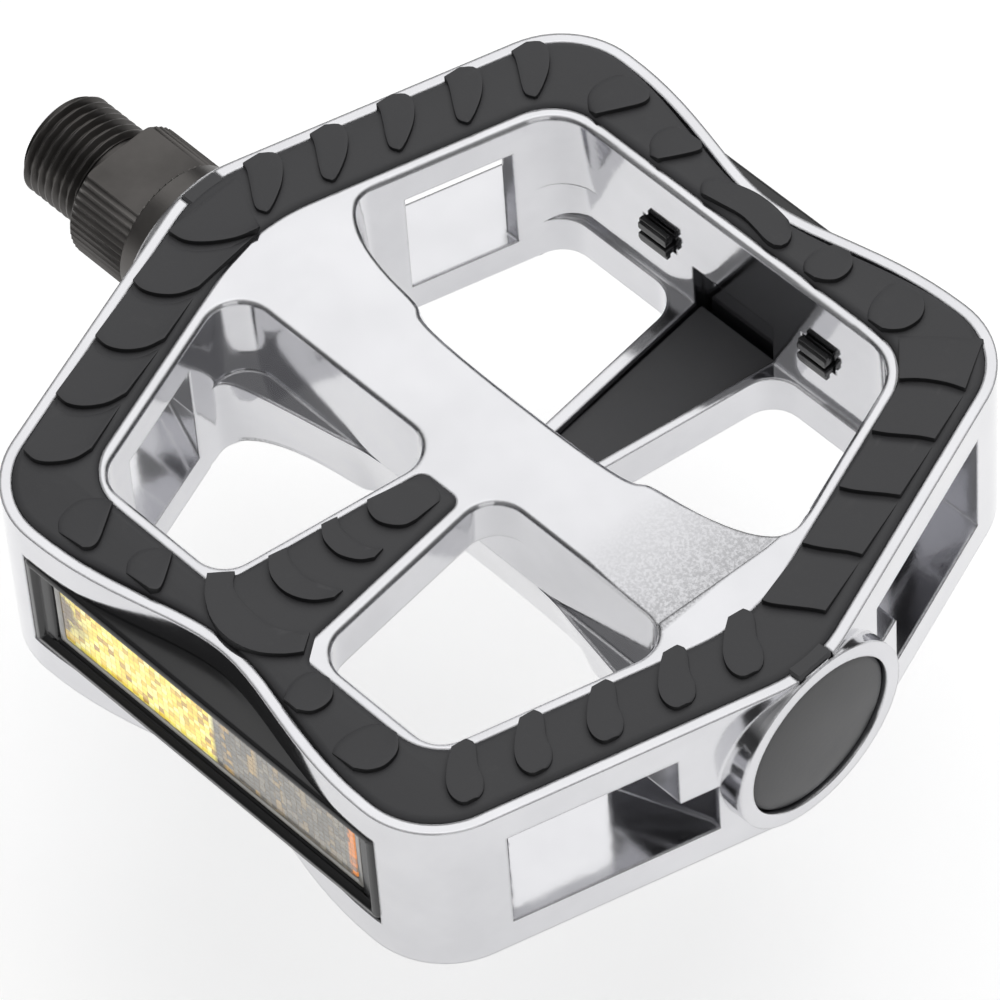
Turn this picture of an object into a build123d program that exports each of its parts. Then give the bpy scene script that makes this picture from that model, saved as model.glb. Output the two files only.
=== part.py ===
from build123d import *
from math import asin, cos, pi, radians, sin, sqrt
import os

# Flat pedal for a bicycle: a die-cast alloy body with rubber treads and reflectors,
# turning on a steel spindle. Millimetres, +Z up, +X along the spindle away from the crank.
# The origin is where the spindle axis meets the shoulder that seats on the crank.

# ---- spindle ----
THREAD_R = 7.144                # 9/16 in pedal thread, outside radius
THREAD_PITCH = 1.27             # 20 threads per inch
THREAD_DEPTH = 0.62
THREAD_LAND = 0.32              # width of each crest
THREAD_TURNS = 7
NECK_LENGTH = 1.9               # undercut between the thread and the shoulder
NECK_R = 6.2
COLLAR_R = 9.3
COLLAR_CHAMFER = 0.5
FLATS_ACROSS = 15.0             # spanner size
FLATS_START = 0.0
FLATS_LENGTH = 9.2
SHAFT_R = 4.9                   # slender middle of the spindle
SHAFT_TAPER_START = 30.0
SHAFT_TAPER_END = 45.0
AXLE_THREAD_R = 4.0             # outer end thread, M8
KEYWAY_WIDTH = 1.8
KEYWAY_DEPTH = 0.9

# ---- body ----
BODY_X = 66.5                   # shoulder to the middle of the body
BODY_HALF_HEIGHT = 13.35
APEX_X = 53.0                   # where the slanted ends would meet on the spindle axis
END_SLOPE = 0.321               # how far an end falls back per millimetre sideways
SIDE_Y = 50.0                   # widest half-width
WAIST_DEPTH = 4.4               # hollow in the long sides
CORNER_RUN = 9.45               # straight length of a long side beside each corner
CORNER_R = 12.0
APEX_R = 18.0
INNER_APEX_R = 24.0
OPENING_X = 40.5                # inner edge of the slanted ends, on the spindle axis
OPENING_Y = 38.3                # inner edge of the long sides
OPENING_CORNER_R = 6.5
NEAR_CORNER_R = 4.5
RIM_THICKNESS = 4.85            # top and bottom rims
WEB_INNER_Y = 39.1              # upright wall of the long sides
WEB_OUTER_Y = 41.6
BOSS_WALL = 2.0                 # bearing bosses, round the dust cap's bore
BOSS_END_X = 52.3
BOSS_INNER_X = 30.0
FLANK_Y = 18.0                  # half-width of the block that joins boss and rim
SPINE_NEAR_Y = 7.6              # straight side of the spine at the rim
SPINE_NEAR_X = 20.0             # stations along the curved side of the spine
SPINE_FLARE_X = 31.5
SPINE_FLARE_Y = 14.0
SPINE_TOP_CURVE = (5.5, 8.0, 3.4)       # at the rim: at the two stations and in the middle
SPINE_MID_CURVE = (8.6, 10.8, 7.4)      # at mid-height
POST_START_Y = 32.0             # thin flange at each inner corner
POST_WALL = 2.2
EDGE_CHAMFER = 0.4
BORE_R = 5.6                    # bore for the spindle, through the middle of the spine
BORE_END_R = 7.2                # wider beside the bearings
BORE_TAPER_START = 36.0
BORE_TAPER_END = 45.0

# ---- tongue that carries a strip of tread across one side opening ----
TONGUE_TIP_Y = 11.4             # end of its rubber, nearest the spindle
TONGUE_TIP_LEFT = -1.2          # rubber edges at the tip and at the root
TONGUE_TIP_RIGHT = 5.2
TONGUE_ROOT_LEFT = -6.3
TONGUE_ROOT_RIGHT = 6.9
TONGUE_RAIL_LEFT = 1.2
TONGUE_RAIL_RIGHT = 1.7
TONGUE_THICKNESS = 6.5

# ---- rubber treads ----
LIP_OUTER = 1.45                # metal left outside and inside the tread's recess
LIP_INNER = 1.5
TREAD_RECESS = 1.6
TREAD_PROUD = 1.3
TREAD_FIT = 0.05
TONGUE_RUBBER_RISE = 1.0        # how far the tongue's rubber stops short of its underside
TAB_HALF_WIDTH = 2.8            # tab that runs out over the rim at each boss

# ---- bearings ----
BALL_R = 1.984                  # 5/32 in balls
BALL_CLEARANCE = 0.05
BALL_GAP = 0.12
INNER_BALL_X = 19.5             # ball circle beside the crank
INNER_BALL_CIRCLE_R = 8.3
INNER_CUP_R = 11.0
OUTER_BALL_FROM_MIDDLE = 36.2   # ball circle at the far end, from the middle of the body
OUTER_BALL_CIRCLE_R = 7.3
OUTER_CUP_R = 10.3
CUP_LIP = 0.9                   # cup wall inside the ball circle
CUP_FLOOR = 1.4
CUP_SKIRT = 2.0
SEAL_START = 14.7
SEAL_WIDTH = 2.2
RUNNING_FIT = 0.04
THREAD_FIT = 0.02
CONE_HEX = 12.0
CONE_LENGTH = 6.0
CONE_HEX_LENGTH = 2.2
WASHER_R = 6.9
WASHER_THICKNESS = 1.0
LOCKNUT_HEX = 13.0
LOCKNUT_THICKNESS = 4.5
STACK_GAP = 0.1
AXLE_THREAD_PAST_NUT = 0.8

# ---- dust cap ----
CAP_R = 11.15
CAP_FIT = 0.05
CAP_EDGE = 1.3
CAP_DOME = 0.5
CAP_SET_BACK = 0.4
CAP_SKIRT_WALL = 1.3
CAP_SKIRT_LENGTH = 3.2

# ---- reflectors ----
HOUSING_HALF_LENGTH = 29.5
HOUSING_HALF_HEIGHT = 8.35
HOUSING_PROUD = 0.1             # how far the housings stand out past the rims
HOUSING_GAP = 0.1
HOUSING_WALL = 1.5
HOUSING_BACK = 2.0
LENS_HALF_LENGTH = 26.0
LENS_HALF_HEIGHT = 6.3
LENS_SET_BACK = 1.2
LENS_THICKNESS = 2.2
LENS_FIT = 0.05
LENS_RIM = 1.0
BACKING_THICKNESS = 1.2
BACKING_GAP = 0.6
CLIP_X = (-12.4, 14.4)          # two snap clips hold each housing to the wall
CLIP_Z = 2.0
CLIP_WIDTH = 4.8
CLIP_HEIGHT = 3.2
CLIP_PROUD = 1.5                # how far the clips reach through the wall
CLIP_BARB_START = 0.55          # where their barbs begin, inside the wall
CLIP_SLIT = 0.8
CLIP_HOLE_GAP = 0.25
CLIP_BARB = 0.4
CAP_EDGE_BREAK = 0.3            # sideways and lengthways rounding at the dust cap's edge
CAP_EDGE_DROP = 0.5
CAP_DOME_SHARE = 0.72           # dome height left halfway out
AXLE_TIP_CHAMFER = 0.6
TAB_END_GAP = 0.3               # tabs of rubber stop this far before the boss faces
TONGUE_TIP_R = 1.6

# ---- worked out from the sizes above ----
WAIST_HALF_LENGTH = APEX_X - END_SLOPE * SIDE_Y - CORNER_RUN
HOUSING_FACE_Y = SIDE_Y + HOUSING_PROUD
RIM_UNDER = BODY_HALF_HEIGHT - RIM_THICKNESS
TREAD_FLOOR = BODY_HALF_HEIGHT - TREAD_RECESS
TREAD_TOP = BODY_HALF_HEIGHT + TREAD_PROUD
TONGUE_UNDER = BODY_HALF_HEIGHT - TONGUE_THICKNESS
RACE_R = BALL_R + BALL_CLEARANCE
BOSS_CRANK_FACE = BODY_X - BOSS_END_X
BOSS_FAR_FACE = BODY_X + BOSS_END_X
COLLAR_END = INNER_BALL_X - RACE_R
INNER_CUP_END = INNER_BALL_X + RACE_R + CUP_FLOOR
OUTER_BALL_X = BODY_X + OUTER_BALL_FROM_MIDDLE
OUTER_CUP_START = OUTER_BALL_X - RACE_R - CUP_FLOOR
CONE_START = OUTER_BALL_X - RACE_R + BALL_CLEARANCE
CONE_END = OUTER_BALL_X + CONE_LENGTH
WASHER_START = CONE_END + STACK_GAP / 2
LOCKNUT_START = WASHER_START + WASHER_THICKNESS + STACK_GAP / 2
LOCKNUT_END = LOCKNUT_START + LOCKNUT_THICKNESS
AXLE_END = LOCKNUT_END + AXLE_THREAD_PAST_NUT
CAP_FACE = BOSS_FAR_FACE - CAP_SET_BACK
CAP_BORE_R = CAP_R + CAP_FIT
BOSS_R = CAP_BORE_R + BOSS_WALL
CAP_SEAT = CAP_FACE - CAP_EDGE - CAP_SKIRT_LENGTH - CAP_FIT
BIG = 200.0


def plan(height):
    """Horizontal plane at a height, centred on the middle of the body."""
    return Plane((BODY_X, 0, height))


def end_x(apex, y):
    """Where a slanted end, named by its apex, stands at a sideways distance."""
    return apex - END_SLOPE * abs(y)


def waisted_outline(apex, side, waist, corner_r, apex_r):
    """Face of the rim's outline: slanted ends and long sides that dip in at their middle."""
    corner_x = end_x(apex, side)
    with BuildSketch() as face:
        with BuildLine():
            Polyline((corner_x, side), (apex, 0), (corner_x, -side), (WAIST_HALF_LENGTH, -side))
            Spline((WAIST_HALF_LENGTH, -side), (0, waist - side), (-WAIST_HALF_LENGTH, -side),
                   tangents=[(-1, 0), (-1, 0)])
            Polyline((-WAIST_HALF_LENGTH, -side), (-corner_x, -side), (-apex, 0), (-corner_x, side),
                     (-WAIST_HALF_LENGTH, side))
            Spline((-WAIST_HALF_LENGTH, side), (0, side - waist), (WAIST_HALF_LENGTH, side),
                   tangents=[(1, 0), (1, 0)])
            Line((WAIST_HALF_LENGTH, side), (corner_x, side))
        make_face()
        corners = face.vertices().filter_by(lambda v: abs(abs(v.Y) - side) < 0.01 and abs(v.X) > WAIST_HALF_LENGTH + 1)
        fillet(corners, corner_r)
        apexes = face.vertices().filter_by(lambda v: abs(v.Y) < 0.01 and abs(v.X) > BOSS_INNER_X)
        fillet(apexes, apex_r)
    return face.sketch


def far_opening(spine_curve, side):
    """Face of the one opening on the +Y side of the top rim, beside the curved side of the spine."""
    near_y, flare_y, middle_y = spine_curve
    start = (end_x(OPENING_X, SPINE_FLARE_Y), SPINE_FLARE_Y)
    with BuildSketch() as face:
        with BuildLine():
            Spline((-start[0], start[1]), (-SPINE_FLARE_X, flare_y), (-SPINE_NEAR_X, near_y), (0, middle_y),
                   tangents=[(-END_SLOPE, -1), (1, 0)])
            Polyline((-start[0], start[1]), (-end_x(OPENING_X, side), side), (0, side))
            mirror(about=Plane.YZ)
        make_face()
        fillet(face.vertices().filter_by(lambda v: v.Y > side - 1), OPENING_CORNER_R)
    return face.sketch


def near_opening(side, tip, root, grow):
    """Face of one opening on the -Y side of the top rim, between the tongue and a slanted end."""
    apex = OPENING_X + grow
    wide = OPENING_Y + grow
    spine = SPINE_NEAR_Y - grow
    with BuildSketch() as face:
        with BuildLine():
            Polyline((side * end_x(apex, spine), -spine), (tip, -spine), (root, -wide),
                     (side * end_x(apex, wide), -wide), close=True)
        make_face()
        fillet(face.vertices(), NEAR_CORNER_R + grow)
    return face.sketch


def tongue_edge(y):
    """Left and right edges of the tongue's rubber at a sideways distance from the spindle."""
    share = (y - TONGUE_TIP_Y) / (OPENING_Y - TONGUE_TIP_Y)
    left = TONGUE_TIP_LEFT + share * (TONGUE_ROOT_LEFT - TONGUE_TIP_LEFT)
    right = TONGUE_TIP_RIGHT + share * (TONGUE_ROOT_RIGHT - TONGUE_TIP_RIGHT)
    return left, right


def tongue_rubber(shrink):
    """Face of the strip of rubber on the tongue."""
    tip = TONGUE_TIP_Y + shrink
    root = OPENING_Y + LIP_INNER + 1.0
    tip_left, tip_right = tongue_edge(tip)
    root_left, root_right = tongue_edge(root)
    with BuildSketch() as face:
        with BuildLine():
            Polyline((tip_left + shrink, -tip), (tip_right - shrink, -tip),
                     (root_right - shrink, -root), (root_left + shrink, -root), close=True)
        make_face()
        fillet(face.vertices().group_by(Axis.Y)[-1], TONGUE_TIP_R)
    return face.sketch


def near_openings():
    """Faces of the two openings beside the tongue."""
    left_tip, right_tip = tongue_edge(SPINE_NEAR_Y)
    left_root, right_root = tongue_edge(OPENING_Y)
    left = near_opening(-1, left_tip - TONGUE_RAIL_LEFT, left_root - TONGUE_RAIL_LEFT, 0)
    right = near_opening(1, right_tip + TONGUE_RAIL_RIGHT, right_root + TONGUE_RAIL_RIGHT, 0)
    return left, right


def tread_face(shrink):
    """Plan of a tread: a band round the rim, a tongue and a tab at each boss."""
    with BuildSketch() as face:
        add(waisted_outline(APEX_X - LIP_OUTER * 1.05 - shrink, SIDE_Y - LIP_OUTER - shrink,
                            WAIST_DEPTH, CORNER_R - LIP_OUTER, APEX_R))
        with BuildSketch(mode=Mode.PRIVATE) as hole:
            with BuildLine():
                inner = OPENING_X + LIP_INNER * 1.05 + shrink
                wide = OPENING_Y + LIP_INNER + shrink
                Polyline((inner, 0), (end_x(inner, wide), wide), (-end_x(inner, wide), wide), (-inner, 0),
                         (-end_x(inner, wide), -wide), (end_x(inner, wide), -wide), close=True)
            make_face()
            fillet(hole.vertices().filter_by(lambda v: abs(v.Y) > 1), OPENING_CORNER_R + LIP_INNER)
            fillet(hole.vertices().filter_by(lambda v: abs(v.Y) < 1), INNER_APEX_R)
        add(hole.sketch, mode=Mode.SUBTRACT)
        add(tongue_rubber(shrink))
        for side in (-1, 1):
            with Locations((side * (APEX_X - 5.0), 0)):
                Rectangle(2 * (BOSS_END_X - TAB_END_GAP - APEX_X + 5.0), 2 * (TAB_HALF_WIDTH - shrink))
    return face.sketch


def hollow(side, across):
    """Face of the space between the rims at one slanted end, on one side of the boss."""
    wall_x = end_x(OPENING_X, WEB_INNER_Y) + POST_WALL
    post_x = end_x(OPENING_X, POST_START_Y) + POST_WALL
    inner_x = SPINE_NEAR_X - 2.0
    outer_y = FLANK_Y if across < 0 else BOSS_R
    with BuildSketch() as face:
        with BuildLine():
            Polyline((side * inner_x, across * FLANK_Y),
                     (side * end_x(OPENING_X, FLANK_Y), across * FLANK_Y),
                     (side * (APEX_X - LIP_OUTER - END_SLOPE * BOSS_R), across * outer_y),
                     (side * BIG, across * outer_y), (side * BIG, across * WEB_INNER_Y),
                     (side * wall_x, across * WEB_INNER_Y), (side * post_x, across * POST_START_Y),
                     (side * inner_x, across * POST_START_Y), close=True)
        make_face()
    return face.sketch


def under_tongue():
    """Face of the single opening under the tongue."""
    near_x = end_x(OPENING_X, SPINE_NEAR_Y)
    wide_x = end_x(OPENING_X, WEB_INNER_Y)
    with BuildSketch() as face:
        with BuildLine():
            Polyline((near_x, -SPINE_NEAR_Y), (wide_x, -WEB_INNER_Y), (-wide_x, -WEB_INNER_Y),
                     (-near_x, -SPINE_NEAR_Y), close=True)
        make_face()
        fillet(face.vertices(), NEAR_CORNER_R)
    return face.sketch


def upright(x):
    """Upright plane facing along the spindle."""
    return Plane((x, 0, 0), x_dir=(0, 1, 0), z_dir=(1, 0, 0))


def ball_angles(circle_r):
    """Angles of as many balls as fit round a ball circle."""
    count = int(2 * pi / (2 * asin((BALL_R + BALL_GAP / 2) / circle_r)))
    return [360.0 / count * step for step in range(count)]


# ---------------------------------------------------------------- body casting
outline = waisted_outline(APEX_X, SIDE_Y, WAIST_DEPTH, CORNER_R, APEX_R)
wide_opening_low = far_opening(SPINE_MID_CURVE, WEB_INNER_Y)
wide_opening_high = far_opening(SPINE_TOP_CURVE, OPENING_Y)
left_opening, right_opening = near_openings()
low_opening = under_tongue()
hollows = [hollow(side, across) for side in (-1, 1) for across in (1, -1)]
recess = tread_face(0)
tongue_slot = tongue_rubber(0)

with BuildPart() as half:
    with BuildSketch(plan(0)):
        add(outline)
    extrude(amount=BODY_HALF_HEIGHT)
    # open ends between the rims
    with BuildSketch(plan(0)):
        add(hollows)
    extrude(amount=RIM_UNDER, mode=Mode.SUBTRACT)
    # spine and bosses
    with BuildSketch(plan(0)):
        with Locations((0, (FLANK_Y - SPINE_NEAR_Y) / 2)):
            Rectangle(2 * end_x(OPENING_X, FLANK_Y), FLANK_Y + SPINE_NEAR_Y)
    extrude(amount=BODY_HALF_HEIGHT)
    for side in (-1, 1):
        with BuildSketch(upright(BODY_X + side * BOSS_INNER_X)):
            Circle(BOSS_R)
        extrude(amount=side * (BOSS_END_X - BOSS_INNER_X))
    split(bisect_by=Plane.XY, keep=Keep.TOP)
    # one large opening on the +Y side, its spine wall leaning in towards the rim
    with BuildSketch(plan(0)):
        add(wide_opening_low)
    with BuildSketch(plan(BODY_HALF_HEIGHT)):
        add(wide_opening_high)
    loft(mode=Mode.SUBTRACT)
    # two openings on the -Y side, with the tongue between them
    with BuildSketch(plan(0)):
        add(left_opening)
        add(right_opening)
    extrude(amount=BODY_HALF_HEIGHT, mode=Mode.SUBTRACT)
    # below the tongue they are one
    with BuildSketch(plan(0)):
        add(low_opening)
    extrude(amount=TONGUE_UNDER, mode=Mode.SUBTRACT)
    # broken edges round the openings
    top_face = half.faces().sort_by(Axis.Z)[-1]
    chamfer(top_face.inner_wires().edges(), EDGE_CHAMFER)
    # recess for the tread, right through under the tongue's rubber
    with BuildSketch(plan(TREAD_FLOOR)):
        add(recess)
    extrude(amount=TREAD_RECESS, mode=Mode.SUBTRACT)
    with BuildSketch(plan(0)):
        add(tongue_slot)
    extrude(amount=BODY_HALF_HEIGHT, mode=Mode.SUBTRACT)

with BuildPart() as body:
    add(half.part)
    add(half.part.mirror(Plane.XY).rotate(Axis((BODY_X, 0, 0), (0, 0, 1)), 180))
    # stepped bore for the bearings and the spindle
    with BuildSketch(Plane.XZ):
        with BuildLine():
            Polyline((BOSS_CRANK_FACE - 1, 0), (BOSS_CRANK_FACE - 1, INNER_CUP_R), (INNER_CUP_END, INNER_CUP_R),
                     (INNER_CUP_END, BORE_END_R), (BORE_TAPER_START, BORE_END_R), (BORE_TAPER_END, BORE_R),
                     (2 * BODY_X - BORE_TAPER_END, BORE_R), (2 * BODY_X - BORE_TAPER_START, BORE_END_R),
                     (OUTER_CUP_START, BORE_END_R), (OUTER_CUP_START, OUTER_CUP_R), (CAP_SEAT, OUTER_CUP_R),
                     (CAP_SEAT, CAP_BORE_R), (BOSS_FAR_FACE + 1, CAP_BORE_R), (BOSS_FAR_FACE + 1, 0),
                     close=True)
        make_face()
    revolve(axis=Axis.X, mode=Mode.SUBTRACT)
    # pockets for the reflectors, and the clip holes through their back wall
    for across in (-1, 1):
        with BuildSketch(plan(0)):
            with Locations((0, across * (WEB_OUTER_Y + BIG / 2))):
                Rectangle(2 * (HOUSING_HALF_LENGTH + HOUSING_GAP), BIG)
        extrude(amount=HOUSING_HALF_HEIGHT + HOUSING_GAP, both=True, mode=Mode.SUBTRACT)
        with BuildSketch(plan(across * CLIP_Z)):
            with Locations([(clip_x, across * WEB_OUTER_Y) for clip_x in CLIP_X]):
                Rectangle(CLIP_WIDTH + 2 * CLIP_HOLE_GAP, 2 * (WEB_OUTER_Y - OPENING_Y) + 1)
        extrude(amount=CLIP_HEIGHT / 2 + CLIP_HOLE_GAP, both=True, mode=Mode.SUBTRACT)

# ---------------------------------------------------------------- rubber treads
tread_band = tread_face(TREAD_FIT)
tread_tongue = tongue_rubber(TREAD_FIT)
with BuildPart() as top_tread:
    with BuildSketch(plan(TREAD_FLOOR + TREAD_FIT)):
        add(tread_band)
    extrude(amount=TREAD_TOP - TREAD_FLOOR - TREAD_FIT)
    with BuildSketch(plan(TONGUE_UNDER + TONGUE_RUBBER_RISE)):
        add(tread_tongue)
    extrude(amount=TREAD_TOP - TONGUE_UNDER - TONGUE_RUBBER_RISE)
with BuildPart() as bottom_tread:
    add(top_tread.part.mirror(Plane.XY).rotate(Axis((BODY_X, 0, 0), (0, 0, 1)), 180))

# ---------------------------------------------------------------- spindle
with BuildPart() as spindle:
    with BuildSketch(Plane.XZ):
        thread_start = -NECK_LENGTH - THREAD_TURNS * THREAD_PITCH
        with BuildLine():
            outline_points = [(thread_start - THREAD_LAND, 0), (thread_start - THREAD_LAND, THREAD_R - THREAD_DEPTH),
                              (thread_start, THREAD_R)]
            for turn in range(THREAD_TURNS):
                crest = thread_start + turn * THREAD_PITCH
                outline_points += [(crest + THREAD_LAND, THREAD_R),
                                   (crest + (THREAD_LAND + THREAD_PITCH) / 2, THREAD_R - THREAD_DEPTH),
                                   (crest + THREAD_PITCH, THREAD_R)]
            outline_points += [(-NECK_LENGTH + THREAD_LAND, THREAD_R), (-NECK_LENGTH + THREAD_LAND, NECK_R),
                               (0, NECK_R), (0, COLLAR_R - COLLAR_CHAMFER), (COLLAR_CHAMFER, COLLAR_R),
                               (COLLAR_END, COLLAR_R), (COLLAR_END, INNER_BALL_CIRCLE_R)]
            Polyline(*outline_points)
            RadiusArc((COLLAR_END, INNER_BALL_CIRCLE_R), (INNER_BALL_X, INNER_BALL_CIRCLE_R - RACE_R), -RACE_R)
            race_foot = INNER_BALL_CIRCLE_R - RACE_R
            Polyline((INNER_BALL_X, race_foot), (SHAFT_TAPER_START, race_foot), (SHAFT_TAPER_END, SHAFT_R),
                     (CONE_START - 0.5, SHAFT_R), (CONE_START, AXLE_THREAD_R),
                     (AXLE_END - AXLE_TIP_CHAMFER, AXLE_THREAD_R), (AXLE_END, AXLE_THREAD_R - AXLE_TIP_CHAMFER),
                     (AXLE_END, 0), (thread_start - THREAD_LAND, 0))
        make_face()
    revolve(axis=Axis.X)
    # two spanner flats
    with BuildSketch(upright(FLATS_START)):
        for across in (-1, 1):
            with Locations((0, across * (FLATS_ACROSS / 2 + BIG / 2))):
                Rectangle(BIG, BIG)
    extrude(amount=FLATS_LENGTH, mode=Mode.SUBTRACT)
    # keyway for the tongued washer
    with BuildSketch(upright(WASHER_START - 1)):
        with Locations((0, AXLE_THREAD_R)):
            Rectangle(KEYWAY_WIDTH, 2 * KEYWAY_DEPTH)
    extrude(amount=AXLE_END, mode=Mode.SUBTRACT)

# ---------------------------------------------------------------- bearings
with BuildPart() as inboard_seal:
    with BuildSketch(upright(SEAL_START)):
        Circle(INNER_CUP_R)
        Circle(COLLAR_R + RUNNING_FIT, mode=Mode.SUBTRACT)
    extrude(amount=SEAL_WIDTH)


def cup_face(ball_x, circle_r, outer_r, toward):
    """Half section of a bearing cup whose floor lies on one side of its balls (+1 or -1 along X)."""
    floor_x = ball_x + toward * RACE_R
    with BuildSketch(Plane.XZ) as face:
        with BuildLine():
            RadiusArc((ball_x, circle_r + RACE_R), (floor_x, circle_r), toward * RACE_R)
            Polyline((floor_x, circle_r), (floor_x, circle_r - CUP_LIP), (floor_x + toward * CUP_FLOOR, circle_r - CUP_LIP),
                     (floor_x + toward * CUP_FLOOR, outer_r), (ball_x - toward * CUP_SKIRT, outer_r),
                     (ball_x - toward * CUP_SKIRT, circle_r + RACE_R), (ball_x, circle_r + RACE_R))
        make_face()
    return face.sketch


def balls(ball_x, circle_r):
    """A full circle of loose balls."""
    with BuildPart() as ring:
        for angle in ball_angles(circle_r):
            with Locations((ball_x, circle_r * cos(radians(angle)), circle_r * sin(radians(angle)))):
                Sphere(BALL_R)
    return ring


inner_cup_section = cup_face(INNER_BALL_X, INNER_BALL_CIRCLE_R, INNER_CUP_R, 1)
outer_cup_section = cup_face(OUTER_BALL_X, OUTER_BALL_CIRCLE_R, OUTER_CUP_R, -1)
with BuildPart() as inboard_cup:
    with BuildSketch(Plane.XZ):
        add(inner_cup_section)
    revolve(axis=Axis.X)
with BuildPart() as outboard_cup:
    with BuildSketch(Plane.XZ):
        add(outer_cup_section)
    revolve(axis=Axis.X)
inboard_balls = balls(INNER_BALL_X, INNER_BALL_CIRCLE_R)
outboard_balls = balls(OUTER_BALL_X, OUTER_BALL_CIRCLE_R)

with BuildPart() as adjusting_cone:
    with BuildSketch(Plane.XZ):
        foot = OUTER_BALL_CIRCLE_R - RACE_R
        with BuildLine():
            Polyline((CONE_START, AXLE_THREAD_R + THREAD_FIT), (CONE_START, foot), (OUTER_BALL_X, foot))
            RadiusArc((OUTER_BALL_X, foot), (OUTER_BALL_X + RACE_R, OUTER_BALL_CIRCLE_R), -RACE_R)
            Polyline((OUTER_BALL_X + RACE_R, OUTER_BALL_CIRCLE_R), (CONE_END - CONE_HEX_LENGTH, OUTER_BALL_CIRCLE_R),
                     (CONE_END - CONE_HEX_LENGTH, AXLE_THREAD_R + THREAD_FIT),
                     (CONE_START, AXLE_THREAD_R + THREAD_FIT))
        make_face()
    revolve(axis=Axis.X)
    with BuildSketch(upright(CONE_END - CONE_HEX_LENGTH)):
        RegularPolygon(CONE_HEX / 2, 6, major_radius=False)
        Circle(AXLE_THREAD_R + THREAD_FIT, mode=Mode.SUBTRACT)
    extrude(amount=CONE_HEX_LENGTH)

with BuildPart() as tongued_washer:
    with BuildSketch(upright(WASHER_START)):
        Circle(WASHER_R)
        Circle(AXLE_THREAD_R + STACK_GAP / 2, mode=Mode.SUBTRACT)
        tongue_foot = AXLE_THREAD_R - KEYWAY_DEPTH + STACK_GAP
        with Locations((0, (tongue_foot + WASHER_R) / 2)):
            Rectangle(KEYWAY_WIDTH - 2 * STACK_GAP, WASHER_R - tongue_foot - STACK_GAP)
    extrude(amount=WASHER_THICKNESS)

with BuildPart() as locknut:
    with BuildSketch(upright(LOCKNUT_START)):
        RegularPolygon(LOCKNUT_HEX / 2, 6, major_radius=False)
        Circle(AXLE_THREAD_R + THREAD_FIT, mode=Mode.SUBTRACT)
    extrude(amount=LOCKNUT_THICKNESS)
    bore_edges = locknut.edges().filter_by(GeomType.CIRCLE)
    chamfer(bore_edges, 0.4)

with BuildPart() as dust_cap:
    with BuildSketch(Plane.XZ):
        disc_back = CAP_FACE - CAP_EDGE
        with BuildLine():
            ThreePointArc((CAP_FACE + CAP_DOME, 0), (CAP_FACE + CAP_DOME_SHARE * CAP_DOME, CAP_R / 2),
                          (CAP_FACE - CAP_EDGE_BREAK, CAP_R - CAP_EDGE_BREAK))
            Polyline((CAP_FACE - CAP_EDGE_BREAK, CAP_R - CAP_EDGE_BREAK), (CAP_FACE - CAP_EDGE_DROP, CAP_R),
                     (disc_back - CAP_SKIRT_LENGTH, CAP_R),
                     (disc_back - CAP_SKIRT_LENGTH, CAP_R - CAP_SKIRT_WALL), (disc_back, CAP_R - CAP_SKIRT_WALL),
                     (disc_back, 0), (CAP_FACE + CAP_DOME, 0))
        make_face()
    revolve(axis=Axis.X)

# ---------------------------------------------------------------- reflectors
lens_back = HOUSING_FACE_Y - LENS_SET_BACK - LENS_THICKNESS
backing_back = lens_back - BACKING_GAP - BACKING_THICKNESS
clip_spots = [(-clip_x, CLIP_Z) for clip_x in CLIP_X]


def facing(y):
    """Upright plane across the pedal, looking forward, centred on the middle of the body."""
    return Plane((BODY_X, y, 0), x_dir=(-1, 0, 0), z_dir=(0, 1, 0))


with BuildPart() as front_reflector_housing:
    with BuildSketch(facing(WEB_OUTER_Y + HOUSING_GAP)):
        Rectangle(2 * HOUSING_HALF_LENGTH, 2 * HOUSING_HALF_HEIGHT)
    extrude(amount=HOUSING_FACE_Y - WEB_OUTER_Y - HOUSING_GAP)
    with BuildSketch(facing(backing_back)):
        Rectangle(2 * (LENS_HALF_LENGTH + LENS_FIT), 2 * (LENS_HALF_HEIGHT + LENS_FIT))
    extrude(amount=BIG, mode=Mode.SUBTRACT)
    with BuildSketch(facing(WEB_OUTER_Y + HOUSING_GAP + HOUSING_BACK)):
        Rectangle(2 * (LENS_HALF_LENGTH - HOUSING_WALL), 2 * (LENS_HALF_HEIGHT - HOUSING_WALL))
    extrude(amount=BIG, mode=Mode.SUBTRACT)
    # snap clips, each slit into two prongs with a barb that hooks behind the wall
    with BuildSketch(facing(WEB_OUTER_Y + HOUSING_GAP)):
        with Locations(clip_spots):
            Rectangle(CLIP_WIDTH, CLIP_HEIGHT)
    extrude(amount=-(WEB_OUTER_Y + HOUSING_GAP - WEB_INNER_Y + CLIP_PROUD))
    with BuildSketch(facing(WEB_INNER_Y - CLIP_BARB_START)):
        with Locations(clip_spots):
            Rectangle(CLIP_WIDTH, CLIP_HEIGHT + 2 * CLIP_HOLE_GAP + 2 * CLIP_BARB)
    extrude(amount=-(CLIP_PROUD - CLIP_BARB_START))
    with BuildSketch(facing(WEB_OUTER_Y)):
        with Locations(clip_spots):
            Rectangle(CLIP_WIDTH + 1, CLIP_SLIT)
    extrude(amount=-BIG, mode=Mode.SUBTRACT)

with BuildPart() as front_reflector_lens:
    with BuildSketch(facing(lens_back - BACKING_GAP)):
        Rectangle(2 * LENS_HALF_LENGTH, 2 * LENS_HALF_HEIGHT)
    extrude(amount=LENS_THICKNESS + BACKING_GAP)
    with BuildSketch(facing(lens_back - BACKING_GAP)):
        Rectangle(2 * (LENS_HALF_LENGTH - LENS_RIM), 2 * (LENS_HALF_HEIGHT - LENS_RIM))
    extrude(amount=BACKING_GAP, mode=Mode.SUBTRACT)

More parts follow.
